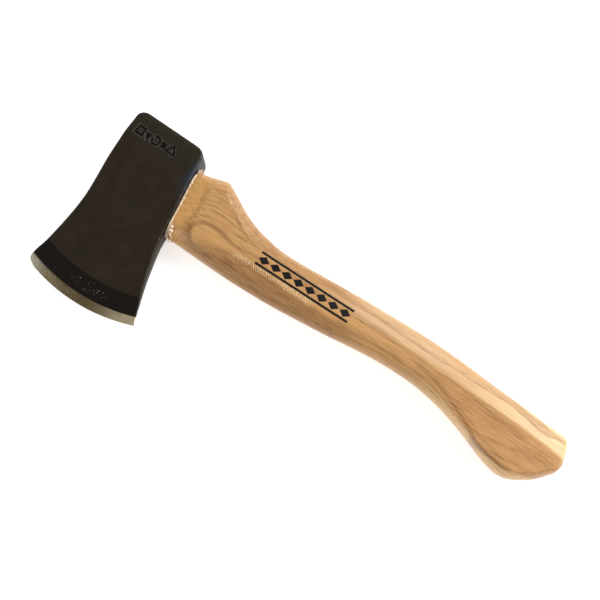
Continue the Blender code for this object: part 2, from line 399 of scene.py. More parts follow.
# %% Outlines of the head
GAP = 0.3 * MM
POLL_Y, EDGE_Y = HEAD_HIGH.y, HEAD_LOW.y
POLL_ROUND = 6.0 * MM                 # rounding of the poll, seen onto a cheek
POLL_CHEEK_SHARE = 0.4                # the same along the cheeks, as a share of it
EDGE_RADIUS = 125 * MM
EDGE_CENTRE_X = 8 * MM
ARC_FROM, ARC_TO = -30 * MM, -80 * MM
BEVEL_Y = -88 * MM                    # the ground bevel starts here
EDGE_THICKNESS = 0.12                 # of the edge itself, in millimetres
CORNER = 2.0 * MM
THIN_CORNER = 0.45
HEAD_TOP = [(36, -26), (20, -26), (4, -24.8), (-18, -22.7), (-34, -21.9), (-48, -22.5),
            (-75, -25), (-89, -27.4), (-92.6, -26.4), (-94, -22)]
HEAD_UNDERSIDE = [(36, 26.8), (12, 31), (-12, 35.2), (-30, 37.5), (-48.5, 42.4), (-69, 47.9),
                  (-94, 56.3)]
HEAD_WIDTH = [(36, 25), (-3, 25), (-12, 22.8), (-24, 18), (-34, 14.4), (-46, 11.2), (-60, 8.8),
              (-75, 6), (-88, 2.9)]
FACE_X = outline(HEAD_UNDERSIDE, 0.0)


def face_lean(y):
    """How far along the handle the underside of the head is at y, from its place at 0."""
    return outline(HEAD_UNDERSIDE, y) - FACE_X


def head_thickness(place):
    if place > BEVEL_Y:
        return outline(HEAD_WIDTH, place)
    share = (place - EDGE_Y) / (BEVEL_Y - EDGE_Y)
    return (EDGE_THICKNESS + share * (HEAD_WIDTH[-1][1] - EDGE_THICKNESS)) * MM


def arc_bend(x):
    across = x - EDGE_CENTRE_X
    return EDGE_RADIUS - math.sqrt(EDGE_RADIUS ** 2 - across ** 2)


CORNER_STEPS = 6
CHEEK_STEPS = 120


def head_ring(place, inset=0.0):
    """One row around the head, from the top over the upper cheek to the underside and back."""
    top = outline(HEAD_TOP, place) + inset
    underside = outline(HEAD_UNDERSIDE, place) - inset
    half = head_thickness(place) / 2 - inset * POLL_CHEEK_SHARE
    radius = min(CORNER, half * THIN_CORNER)
    turns = [(radius * (1 - math.cos(a)), half - radius * (1 - math.sin(a)))
             for a in spread(0.0, math.pi / 2, CORNER_STEPS + 1)]
    cheek = [(x, half) for x in spread(top + radius, underside - radius, CHEEK_STEPS + 1)[1:-1]]
    upper = [(top + x, z) for x, z in turns] + cheek
    upper += [(underside - x, z) for x, z in reversed(turns)]
    return [Vector((x, place + arc_bend(x) * fade(place, ARC_FROM, ARC_TO), MID + z))
            for x, z in upper + [(x, -z) for x, z in reversed(upper)]]


print("head from y =", round(EDGE_Y / MM, 1), "to", round(POLL_Y / MM, 1))

# %% [markdown]
# A row of marks is punched into the upper cheek near the poll. They are plain shapes: diamonds,
# triangles and hexagons. Each is the distance to a regular polygon, so one small function sinks
# a solid mark or a ring, and raises the thin burr that a punch pushes up around it.

# %% Punched marks
PUNCH_ROW_Y = 22.8                    # millimetres, as all of these
PUNCH_DEPTH, PUNCH_BURR, PUNCH_WALL = 0.7, 0.10, 0.4
PUNCH_RING = 0.75                     # half the width of a ring's groove
PUNCH_REACH = 2.5                     # no mark acts further off than this many times its size
BURR_PLACE, BURR_WIDTH = 0.45, 0.3    # outside a mark's wall
PUNCHES = [(-17.0, 4, 2.5, 0, True), (-10.6, 3, 1.9, 90, False), (-4.6, 6, 2.7, 30, True),
           (1.6, 4, 2.2, 0, False), (8.0, 3, 1.9, -90, True)]  # x, sides, size, turn, is a ring


def punched(x, y):
    """How far the marks sink the cheek at x, y, and how high their burr stands."""
    sunk = burr = 0.0
    for centre, sides, size, turn, is_ring in PUNCHES:
        across, along = x - centre, y - PUNCH_ROW_Y
        reach = math.hypot(across, along)
        if reach > PUNCH_REACH * size:
            continue
        step = 2 * math.pi / sides
        angle = math.atan2(along, across) - math.radians(turn)
        angle = (angle + step / 2) % step - step / 2
        outside = reach * math.cos(angle) - size
        if is_ring:
            outside = abs(outside) - PUNCH_RING
        sunk += PUNCH_DEPTH * fade(-outside, -PUNCH_WALL / 2, PUNCH_WALL / 2)
        burr += PUNCH_BURR * math.exp(-((outside - BURR_PLACE) / BURR_WIDTH) ** 2)
    return sunk, burr


print(len(PUNCHES), "punched marks")

# %% [markdown]
# A forging is never quite flat. The cheeks get a slow hammered waviness and a few shallow pits,
# always inwards, so that the head keeps its outer size. How deep each point is punched, and how
# much burr it has, stays on the mesh as two attributes, which the steel's finish reads later.

# %% Rows of the head
HEAD_ROWS = [(EDGE_Y, 4), (-93 * MM, 7), (BEVEL_Y, 12), (-75 * MM, 65), (16 * MM, 40),
             (POLL_Y - POLL_ROUND, 0)]         # a place, and the rows from it to the next place
WAVE_DEPTH, WAVE_SIZE = 0.08, 16.0    # millimetres
RIPPLE_SHARE, RIPPLE_SIZE = 0.2, 4.0
PIT_DEPTH, PIT_SIZE, PIT_FROM = 0.11, 2.2, 0.42
BEVEL_SMOOTHER, POLL_SMOOTHER = 0.85, 0.6
MARKS_FROM = 10 * MM                  # the punched marks lie between here and the poll


def head_places():
    """Rows from the edge to the poll's rounding: close together where the surface is busy."""
    rows = []
    for (start, count), (stop, _) in zip(HEAD_ROWS, HEAD_ROWS[1:]):
        rows += spread(start, stop, count + 1)[:-1]
    return rows


def bumps(point, size):
    """Soft noise from 0 to 1, with bumps of a size in millimetres."""
    return noise.noise(point / (size * MM)) * 0.5 + 0.5


def forged_sink(point):
    """How deep the forged surface lies below the ideal one at this point, in millimetres."""
    wave = bumps(point, WAVE_SIZE) * (1 - RIPPLE_SHARE) + bumps(point, RIPPLE_SIZE) * RIPPLE_SHARE
    pit = max(noise.noise(point / (PIT_SIZE * MM)) - PIT_FROM, 0.0)
    return WAVE_DEPTH * wave + PIT_DEPTH * pit


def weather_head(shape):
    """Sink, pit and punch the surface of the ideal head, and note where the marks are."""
    shape.normal_update()
    sunk_layer = shape.verts.layers.float.new("sunk")
    burr_layer = shape.verts.layers.float.new("burr")
    moves = []
    for vert in shape.verts:
        place = vert.co.y - arc_bend(vert.co.x)
        ground = 1 - fade(place, BEVEL_Y - 1 * MM, BEVEL_Y + 2 * MM)
        poll_face = fade(vert.co.y, POLL_Y - 0.5 * MM, POLL_Y)
        rough = (1 - BEVEL_SMOOTHER * ground) * (1 - POLL_SMOOTHER * poll_face)
        move = -vert.normal * forged_sink(vert.co) * rough * MM
        if vert.normal.z > 0.9 and vert.co.y > MARKS_FROM:
            sunk, burr = punched(vert.co.x / MM, vert.co.y / MM)
            vert[sunk_layer], vert[burr_layer] = sunk / PUNCH_DEPTH, burr / PUNCH_BURR
            move.z += (burr - sunk) * MM
        moves.append(move)
    for vert, move in zip(shape.verts, moves):
        vert.co += move
        vert.co.z = min(max(vert.co.z, HEAD_LOW.z), HEAD_HIGH.z)


head_rings = [head_ring(place) for place in head_places()]
head_rings += [head_ring(place, inset) for place, inset in rounding(POLL_Y, POLL_ROUND, 10)]
head_shape = skin(head_rings)
weather_head(head_shape)
print("head rows", len(head_rings), "of", len(head_rings[0]), "points")

# %% [markdown]
# The handle's section is a flat planed side between two ridges, and from each ridge a rounded
# side runs to the back or to the belly. At the shoulder the ridges are crisp, in the grip they
# nearly vanish, and at the swelled foot they come back. The tenon that fills the eye has the
# same kind of section, and spreads a little where the wedges press it apart. The eye itself is
# cut out of the head with the tenon's shape, made wider by a small gap.

# %% Outlines of the handle
EYE_LENGTH, EYE_WIDTH, EYE_SPREAD = 43 * MM, 16.8 * MM, 1.4 * MM
TENON_END_MIDDLE = -24.7 * MM
TENON_END_SLOPE = -0.087
TENON_FLAT = (8 * MM, -5 * MM)
TENON_PLANED = (0.97, 0.97)
SHOULDER_STRAIGHT_BY = 90 * MM
FOOT_LEANS_FROM, FOOT_LEANS_BY = 280 * MM, 320 * MM
FOOT_X, FOOT_SLOPE, FOOT_Y, FOOT_ROUND = 328.7 * MM, -0.20, -4 * MM, 3 * MM
BACK_POWER, BELLY_POWER = 2.0, 2.3
HANDLE_BACK = [(33, 23.9), (41, 25.6), (48, 27.9), (52.6, 29.6), (53.8, 29.8), (55, 29.2),
               (58.5, 27.4), (66, 22.9), (75.5, 17.9), (88, 14), (110, 11.5), (148, 14.5),
               (187, 17.4), (226, 19.1), (276, 17.6), (326, 16.2), (328.7, 15.8)]
HANDLE_BELLY = [(33, -24.4), (75, -24.4), (116, -22.6), (155, -18), (194, -12.4), (219, -11.1),
                (244, -13.4), (270, -19.6), (288, -26), (297, -28), (303, -26.8), (316, -18.3),
                (328.7, -6)]
HANDLE_WIDTH = [(33, 18.6), (44, 21.6), (50, 22.4), (75, 21.6), (110, 20), (160, 20),
                (220, 21.2), (270, 23.2), (300, 24), (328.7, 22.6)]
RIDGE_BACK = [(33, 15), (48, 20), (55, 20.5), (64, 15.5), (87, 4), (130, 0), (175, 0), (216, 2),
              (256, 3.5), (311, 2.6), (328.7, 1)]
RIDGE_BELLY = [(33, -13), (55, -14.5), (72, -12), (95, -8.5), (140, -9.5), (170, -7.5),
               (200, -5.3), (225, -5.6), (244, -9.1), (268, -16.9), (292, -23), (303, -22),
               (328.7, -3)]
BACK_PLANED = [(33, 0.94), (70, 0.94), (120, 0.99), (190, 0.985), (235, 0.94), (328.7, 0.92)]
BELLY_PLANED = [(33, 0.95), (70, 0.94), (110, 0.91), (150, 0.92), (190, 0.95), (235, 0.92),
                (328.7, 0.90)]
ARC_STEPS, FLAT_STEPS = 18, 26
ROW_STEP = 1.3 * MM


def oval_half(outer, ridges, width, planed):
    """(y, z) from the back over the upper side to the belly, z above the middle plane."""
    rounded = []
    for end, ridge, level, power in zip(outer, ridges, planed, (BACK_POWER, BELLY_POWER)):
        steepest = math.asin(level ** (power / 2))
        share = math.cos(steepest) ** (2 / power)
        middle = (ridge - end * share) / (1 - share)
        turns = [steepest * (2 * i + 1) / (2 * ARC_STEPS + 1) for i in range(ARC_STEPS + 1)]
        rounded.append([(middle + (end - middle) * math.cos(a) ** (2 / power),
                         width / level / 2 * math.sin(a) ** (2 / power)) for a in turns])
    flat = [(y, width / 2) for y in spread(*ridges, FLAT_STEPS + 1)]
    return rounded[0] + flat[1:-1] + rounded[1][::-1]


def oval_ring(half, lean):
    return [Vector((lean(y), y, MID + z)) for y, z in half + [(y, -z) for y, z in reversed(half)]]


def tenon_ring(place, clearance=0.0):
    """A section of the tenon, or of the eye around it when given a clearance."""
    share = (place - FACE_X) / (TENON_END_MIDDLE - FACE_X)
    lean_share = min(max(share, 0.0), 1.0)
    reach = (EYE_LENGTH + EYE_SPREAD * share) / 2 + clearance
    width = EYE_WIDTH + EYE_SPREAD * share + 2 * clearance

    def lean(y):
        return place + face_lean(y) * (1 - lean_share) + TENON_END_SLOPE * y * lean_share

    return oval_ring(oval_half((reach, -reach), TENON_FLAT, width, TENON_PLANED), lean)


def handle_ring(place, inset=0.0):
    """A section of the handle outside the head."""
    outer = (outline(HANDLE_BACK, place) - inset, outline(HANDLE_BELLY, place) + inset)
    ridges = (outline(RIDGE_BACK, place) - inset, outline(RIDGE_BELLY, place) + inset)
    width = outline(HANDLE_WIDTH, place) - 2 * inset
    at_head = 1 - fade(place, FACE_X, SHOULDER_STRAIGHT_BY)
    at_foot = fade(place, FOOT_LEANS_FROM, FOOT_LEANS_BY)

    def lean(y):
        return place + face_lean(y) * at_head + FOOT_SLOPE * (y - FOOT_Y) * at_foot

    planed = (smooth(BACK_PLANED, place), smooth(BELLY_PLANED, place))
    return oval_ring(oval_half(outer, ridges, width, planed), lean)


EYE_OVERRUN = 30 * MM
eye_rings = [tenon_ring(x, GAP) for x in spread(TENON_END_MIDDLE - EYE_OVERRUN,
                                                FACE_X + EYE_OVERRUN, 5)]
head = add_piece("forged_head", head_shape)
carve(head, skin(eye_rings))
print("head carved:", len(head.data.polygons), "faces")

# %% [markdown]
# Wood is never machined dead true: a spokeshave and a sander leave soft hollows, so the rows are
# pushed in by a few hundredths of a millimetre. The saw kerf and the slots of the steel wedges
# are then cut into the tenon.

# %% Handle mesh
HOLLOW_DEPTH, HOLLOW_SIZE = 0.22, 11.0         # millimetres, across the handle
HOLLOW_LENGTHWISE = 0.45                       # how slowly they change along it
WEDGE_TIP = 0.5 * MM
WEDGE_OVERRUN = 5 * MM
KERF = (32 * MM, 60 * MM, 3.2 * MM)   # depth, length and thick end
STEEL_WEDGE = (16 * MM, 11 * MM, 2.2 * MM)
STEEL_WEDGE_PLACES = (-9.5 * MM, 9.5 * MM)
STEEL_WEDGE_SUNK = 0.4 * MM


def wedge_slot(size, long_axis, y, sunk=0.0):
    """The hollow that takes a wedge, open past the tenon's end."""
    depth, length, thick = size
    taper = (thick - WEDGE_TIP) / depth
    shape = bmesh.new()
    bmesh.ops.create_cube(shape, size=1.0)
    for vert in shape.verts:
        driven = depth + GAP if vert.co.x > 0 else -WEDGE_OVERRUN
        thickness = thick - taper * driven + 2 * GAP
        spans = (length + 2 * GAP, thickness)
        y_span, z_span = spans if long_axis == "Y" else reversed(spans)
        place = y + vert.co.y * y_span
        x = TENON_END_MIDDLE + sunk + driven + TENON_END_SLOPE * place
        vert.co = Vector((x, place, MID + vert.co.z * z_span))
    return shape


def hollow(shape):
    """Push the wood in a little, unevenly, across the handle only."""
    shape.normal_update()
    for vert in shape.verts:
        slow = vert.co.copy()
        slow.x *= HOLLOW_LENGTHWISE
        across = Vector((0, vert.normal.y, vert.normal.z))
        vert.co -= across * bumps(slow, HOLLOW_SIZE) * HOLLOW_DEPTH * MM


shoulder = FACE_X + GAP
grip_end = FOOT_X - FOOT_ROUND
grip_rows = round((grip_end - shoulder) / ROW_STEP)
handle_rings = [tenon_ring(x) for x in spread(TENON_END_MIDDLE, shoulder, 30)]
handle_rings += [handle_ring(x) for x in spread(shoulder, grip_end, grip_rows)]
handle_rings += [handle_ring(x, inset) for x, inset in rounding(FOOT_X, FOOT_ROUND, 7)[1:]]
handle_shape = skin(handle_rings)
hollow(handle_shape)
handle = add_piece("hickory_handle", handle_shape)
slots = [wedge_slot(STEEL_WEDGE, "Z", y, STEEL_WEDGE_SUNK) for y in STEEL_WEDGE_PLACES]
carve(handle, wedge_slot(KERF, "Y", 0.0), *slots)
print("handle:", len(handle.data.polygons), "faces")

# %% [markdown]
# When the handle is driven home, the head's sharp lower rim shaves the wood and pushes up a pale
# ragged lip all round it. The lip is a thin closed band that follows the shoulder's outline,
# with a height that changes from point to point. At the belly end a few shavings have curled.

# %% Shaved lip around the shoulder
LIP_POINTS = 420
LIP_LOWEST, LIP_HEIGHT = 0.35, 2.0             # millimetres, as all of these
LIP_THINNEST, LIP_THICKNESS = 0.25, 1.12
LIP_FLARE = 0.35
RAGGED, TORN = 0.9, 2.6                        # waves of the two noises in a millimetre
shavings = random.Random(7)


def even_points(ring, count):
    """Points spaced evenly around a ring."""
    lengths = [(ring[i] - ring[i - 1]).length for i in range(1, len(ring))]
    lengths.append((ring[0] - ring[-1]).length)
    total, points, run, i = sum(lengths), [], 0.0, 0
    for k in range(count):
        goal = total * k / count
        while run + lengths[i] < goal:
            run += lengths[i]
            i += 1
        share = (goal - run) / lengths[i]
        points.append(ring[i].lerp(ring[(i + 1) % len(ring)], share))
    return points


def lip_shape():
    """A ragged band around the handle, just past the head."""
    shape = bmesh.new()
    path = even_points(handle_ring(shoulder), LIP_POINTS)
    rows = []
    for i, point in enumerate(path):
        along = path[(i + 1) % LIP_POINTS] - path[i - 1]
        out = Vector((0, along.z, -along.y)).normalized()
        if out.dot(point - Vector((point.x, 0, MID))) < 0:
            out = -out
        ragged = noise.noise(point / MM * RAGGED) * 0.5 + 0.5
        torn = noise.noise(point / MM * TORN) * 0.5 + 0.5
        high = LIP_LOWEST + LIP_HEIGHT * ragged * (0.45 + 0.8 * torn)
        thick = LIP_THINNEST + LIP_THICKNESS * ragged * torn
        flare = LIP_FLARE * torn
        section = [(-0.3, 0.02), (thick, 0.02), (thick * 0.75 + flare, high * 0.7),
                   (flare * 0.8, high), (-0.15, high * 0.8)]     # out of the wood, along it
        rows.append([shape.verts.new(point + (out * side + Vector((rise, 0, 0))) * MM)
                     for side, rise in section])
    for i in range(LIP_POINTS):
        row, following = rows[i - 1], rows[i]
        for k in range(len(row)):
            shape.faces.new((row[k - 1], row[k], following[k], following[k - 1]))
    bmesh.ops.recalc_face_normals(shape, faces=shape.faces)
    return shape


lip = add_piece("shaved_lip", lip_shape())
print("lip:", len(lip.data.polygons), "faces")

# %% [markdown]
# A curl is a strip of wood 0.15 mm thin that winds on itself as a spiral. A splinter is a thin
# strip that ends in a point. Both are strips with four corners to a section, so one function
# skins them from a list of centres, widths and directions.

# %% Curls and splinters
CURLS = [  # x, y, z, radius, turns, width, lean in degrees; sizes in millimetres
    (39.4, -20.5, 20.8, 1.5, 1.3, 2.0, 70), (40.6, -23.9, 16.8, 1.7, 1.1, 2.2, 40),
    (39.9, -22.8, 19.2, 1.2, 1.4, 1.6, 55), (39.0, -17.9, 22.0, 1.1, 1.1, 1.6, 80),
    (41.3, -25.2, 13.2, 1.4, 1.2, 2.0, 10), (31.4, 22.6, 20.6, 1.6, 0.8, 2.8, -70),
    (31.6, 24.4, 17.6, 1.3, 0.9, 2.4, -40),
]
CURL_THICKNESS, CURL_STEPS = 0.16 * MM, 21
CURL_CLOSES, CURL_NARROWS = 0.35, 0.4          # how much of its radius and width a curl loses
SPLINTERS, SPLINTER_THICKNESS = 46, 0.14 * MM
ALONG = Vector((1, 0, 0))


def strip(shape, stations, axis, wide, thickness):
    """Add a closed strip, wide along the axis, through (centre, width share, outward way)."""
    rows = []
    for centre, share, out in stations:
        reach = axis * wide * share / 2
        rows.append([shape.verts.new(centre + across + out * thickness * side)
                     for across, side in ((reach, 0), (reach, 1), (-reach, 1), (-reach, 0))])
    for row, following in zip(rows, rows[1:]):
        for k in range(4):
            shape.faces.new((row[k - 1], row[k], following[k], following[k - 1]))
    shape.faces.new(rows[0])
    shape.faces.new(rows[-1])


def curl_stations(centre, radius, turns, lean):
    """Stations along a spiral whose axis leans from upright by an angle."""
    up = Vector((0, math.cos(lean), math.sin(lean)))
    stations = []
    for i, angle in enumerate(spread(0.0, turns * 2 * math.pi, CURL_STEPS + 1)):
        share = i / CURL_STEPS
        out = ALONG * math.cos(angle) + up * math.sin(angle)
        stations.append((centre + out * radius * (1 - CURL_CLOSES * share),
                         1 - CURL_NARROWS * share ** 2, out))
    return stations


curl_shape = bmesh.new()
for x, y, z, radius, turns, width, lean in CURLS:
    angle = math.radians(lean)
    stations = curl_stations(Vector((x, y, z)) * MM, radius * MM, turns, angle)
    axis = Vector((0, -math.sin(angle), math.cos(angle)))
    strip(curl_shape, stations, axis, width * MM, CURL_THICKNESS)

lip_path = even_points(handle_ring(shoulder), LIP_POINTS)
for _ in range(SPLINTERS):
    root = lip_path[shavings.randrange(LIP_POINTS)]
    out = Vector((0, root.y, root.z - MID)).normalized()
    reach = shavings.uniform(0.8, 2.4) * MM
    axis = Vector((0, -out.z, out.y))
    sweep = ALONG * shavings.uniform(0.5, 1.0) + axis * shavings.uniform(-0.7, 0.7)
    lift = shavings.uniform(0.1, 0.5)
    stations = [(root + ALONG * GAP + (sweep * t + out * lift * t * t) * reach, 1.05 - t, out)
                for t in spread(0.0, 1.0, 6)]
    strip(curl_shape, stations, axis, shavings.uniform(0.3, 0.7) * MM, SPLINTER_THICKNESS)
bmesh.ops.recalc_face_normals(curl_shape, faces=curl_shape.faces)
curls = add_piece("curled_shavings", curl_shape)
print("curls and splinters:", len(CURLS) + SPLINTERS)

# %% [markdown]
# Three wedges lock the tenon: a wooden one in the saw kerf and two small steel ones across it.
# Their thick ends show in the eye, where a hammer has marked them. Each fine wedge starts from
# the mesh of the solid model, gets its edges rounded and its faces divided, and is then dented.

# %% Wedges
CREASE = math.radians(30)
LONGEST_EDGE = 0.9 * MM


def dressed_wedge(name, node, round_off, cuts, dent, dent_size):
    """A fine copy of a node: rounded edges, divided faces and hammered dents, all inwards."""
    shape = bmesh.new()
    shape.from_mesh(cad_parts[node].data)
    bmesh.ops.remove_doubles(shape, verts=shape.verts, dist=0.001 * MM)
    bmesh.ops.dissolve_limit(shape, angle_limit=math.radians(1), verts=shape.verts,
                             edges=shape.edges)
    creases = [e for e in shape.edges if e.calc_face_angle(0) > CREASE]
    bmesh.ops.bevel(shape, geom=creases, offset=round_off * MM, segments=2, profile=0.5,
                    affect="EDGES", clamp_overlap=True)
    bmesh.ops.triangulate(shape, faces=shape.faces)
    for _ in range(cuts):
        long_edges = [e for e in shape.edges if e.calc_length() > LONGEST_EDGE]
        bmesh.ops.subdivide_edges(shape, edges=long_edges, cuts=1)
        bmesh.ops.triangulate(shape, faces=shape.faces)
    shape.normal_update()
    for vert in shape.verts:
        vert.co -= vert.normal * bumps(vert.co, dent_size) * dent * MM
    return add_piece(name, shape)


wood_wedge = dressed_wedge("driven_wood_wedge", "wood_wedge", 0.25, 5, 0.16, 1.6)
steel_wedges = [dressed_wedge("driven_" + node, node, 0.3, 4, 0.12, 1.1)
                for node in ("steel_wedge_front", "steel_wedge_back")]
print("wedges:", [len(w.data.polygons) for w in [wood_wedge] + steel_wedges], "faces")

# %% [markdown]
# Hickory shows its years as long lines: a row of dark pores opens each year, and dense smooth
# wood closes it. In the tree the years are cylinders around the pith. This group works out how
# far a point lies from a pith line under the handle, and the line dips towards the shoulder, so
# that the cylinders come out of the flat side as the arches of a flat-sawn board. One group
# serves the handle, the wood wedge and the shavings, each with its own spacing.

# %% Growth rings, as a node group
FLAT_HEIGHT = 22.5                    # the handle's upper flat, in millimetres as all of these
PITH_DEPTH = [(-30, 36), (30, 35), (41, 33.2), (46, 31.2), (49.5, 30.0), (52.3, 29.2), (60, 28.6),
              (72, 29.1), (84, 29.5), (120, 29.4), (160, 29.0), (220, 28.2), (270, 27.8),
              (300, 28.2), (330, 31.2)]           # below that flat
PITH_SLOPE, PITH_Y = 0.018, -12.4
RING_SWAYS = [(1.3, 13.0, 7), (0.5, 3.0, 9), (0.22, 0.8, 12)]    # how much, size, length in sizes


def curve_along(tree, x, knots):
    """The smooth curve through (place in mm, value) knots, for a shader."""
    first, last = knots[0][0], knots[-1][0]
    low, high = min(v for _, v in knots), max(v for _, v in knots)
    share = calc(tree, "DIVIDE", calc(tree, "SUBTRACT", x, first), last - first)
    node = add_node(tree, "FloatCurve", {"Value": share})
    curve = node.mapping.curves[0]
    for place, _ in knots[1:-1]:
        curve.points.new((place - first) / (last - first), 0.5)
    for point, (place, value) in zip(curve.points, knots):
        point.location = ((place - first) / (last - first), (value - low) / (high - low))
    node.mapping.update()
    return calc(tree, "MULTIPLY_ADD", node.outputs[0], high - low, low)


def growth_rings():
    """Masks of early wood, pores and fibres, and a random value for each year."""
    tree, given, out = new_group("growth_rings", [("Place", "Vector", (0, 0, 0)),
                                                  ("Spacing", "Float", 3.0)],
                                 ("Early", "Year", "Pores", "Fibre"))
    place = given["Place"]
    x, y, z = parts(tree, place)
    flat_below = calc(tree, "SUBTRACT", z, FLAT_HEIGHT)
    below = calc(tree, "ADD", curve_along(tree, x, PITH_DEPTH), flat_below)
    aside = calc(tree, "SUBTRACT", y, calc(tree, "MULTIPLY_ADD", x, PITH_SLOPE, PITH_Y))
    radius = distance(tree, below, aside)
    for sway, size, length in RING_SWAYS:
        radius = ruffle(tree, radius, sway, place, size, (length, 1, 1), detail=1.0)
    years = calc(tree, "DIVIDE", radius, given["Spacing"])
    within = calc(tree, "FRACT", years)
    early = product(tree, ease(tree, within, 0.0, 0.07), ease(tree, within, 0.55, 0.10))
    year = add_node(tree, "TexWhiteNoise", {"W": calc(tree, "FLOOR", years)}, noise_dimensions="1D")
    dashes = ease(tree, blotches(tree, place, 0.36, (26, 1, 1), detail=1.0), 0.56, 0.68)
    pores = product(tree, dashes, calc(tree, "MULTIPLY_ADD", early, 0.85, 0.15))
    fibre = ease(tree, blotches(tree, place, 0.5, (26, 1, 1), detail=2.0), 0.35, 0.65)
    for name, value in (("Early", early), ("Year", year.outputs["Value"]), ("Pores", pores),
                        ("Fibre", fibre)):
        tree.links.new(value, out[name])
    return tree


RINGS = growth_rings()
print("group", RINGS.name)

# %% [markdown]
# Two more effects serve several finishes. Corner wear shows where a surface turns between flats:
# the normal then points along no axis, and noise breaks the mask up. Scratches are noise that is
# stretched very long in one direction.

# %% Corner wear and scratches, as node groups
FLAT_ENOUGH, TURNED_ENOUGH = 0.93, 0.76       # the largest part of a normal: no wear, full wear


def divided(tree, vector, by):
    return add_node(tree, "VectorMath", {0: vector, 1: by}, operation="DIVIDE").outputs[0]


def corner_wear():
    tree, given, out = new_group("corner_wear", [("Place", "Vector", (0, 0, 0)),
                                                 ("Size", "Float", 3.0),
                                                 ("Amount", "Float", 0.5)], ("Mask",))
    flatness = 0.0
    for part in parts(tree, add_node(tree, "NewGeometry").outputs["Normal"]):
        flatness = calc(tree, "MAXIMUM", flatness, calc(tree, "ABSOLUTE", part))
    patches = blotches(tree, divided(tree, given["Place"], given["Size"]), 1.0, detail=4.0,
                       roughness=0.7)
    mask = product(tree, ease(tree, flatness, FLAT_ENOUGH, TURNED_ENOUGH),
                   ease(tree, patches, 0.42, 0.62), given["Amount"])
    tree.links.new(mask, out["Mask"])
    return tree


def scratches():
    tree, given, out = new_group("scratches", [("Place", "Vector", (0, 0, 0)),
                                               ("Stretch", "Vector", (1, 12, 1)),
                                               ("Size", "Float", 0.3)], ("Lines",))
    place = divided(tree, divided(tree, given["Place"], given["Stretch"]), given["Size"])
    tree.links.new(blotches(tree, place, 1.0, detail=2.5, roughness=0.65), out["Lines"])
    return tree


WEAR = corner_wear()
SCRATCHES = scratches()
print("groups", WEAR.name, SCRATCHES.name)

# %% [markdown]
# A finish is built up as a painter would: a ground colour, and tones laid over it one by one. Each
# tone has a shade, given as the usual 0 to 255 values, a strength, and masks that say where it
# lies. A mask slopes up between two values of a coordinate, lies between two of them, or stays
# near one. The tones can then stand in a table that reads like a list of what is seen.

# %% Helpers for tones
LINE_CORE = 0.15                      # the share of a line's half width that has full strength


def paint(red, green, blue):
    """A shader colour from the usual 0 to 255 values."""
    shares = [value / 255 for value in (red, green, blue)]
    linear = [((s + 0.055) / 1.055) ** 2.4 if s > 0.04045 else s / 12.92 for s in shares]
    return (*linear, 1.0)


def between(tree, value, low, high, soft):
    """1 between low and high, and fading to 0 over a soft stretch outside both."""
    return product(tree, ease(tree, value, low - soft, low), ease(tree, value, high + soft, high))


def near(tree, value, middle, reach):
    """1 at the middle, and fading to 0 where the value is as far off as reach."""
    core = reach * LINE_CORE
    return between(tree, value, middle - core, middle + core, reach - core)


def tint(tree, colour, shade, *masks):
    """The colour moved to a shade by as much as all masks multiplied."""
    return mix(tree, product(tree, *masks), colour, paint(*shade))


def lay_tones(tree, colour, tones, coordinates):
    """Tint with each tone of a table: shade, strength, and masks as (kind, coordinate, limits)."""
    for shade, strength, *masks in tones:
        shares = [kind(tree, coordinates[name], *limits) for kind, name, *limits in masks]
        colour = tint(tree, colour, shade, *shares, strength)
    return colour


print("mid grey is", round(paint(128, 128, 128)[0], 3))

# %% [markdown]
# The printed ornament is a row of diamonds between two bars, in black ink on the upper flat.
# Its mask comes from each point's place: across and along the ornament's own axis, a diamond is
# where the two distances add up to less than its size.

# %% Ink ornament mask
ORNAMENT_MIDDLE = (132.7, -1.1)       # millimetres, as all of these
ORNAMENT_TURN = math.radians(1.7)
ORNAMENT_LENGTH, DIAMOND_COUNT = 71.0, 8
DIAMOND_HALF = (4.1, 2.9)
BAR_OFFSET, BAR_HALF = 4.2, 0.85
INK_BLUR = 0.18


def on_top(tree, z):
    """1 on the upper side of the handle, and 0 on the lower."""
    return ease(tree, z, MID / MM, MID / MM + 1)


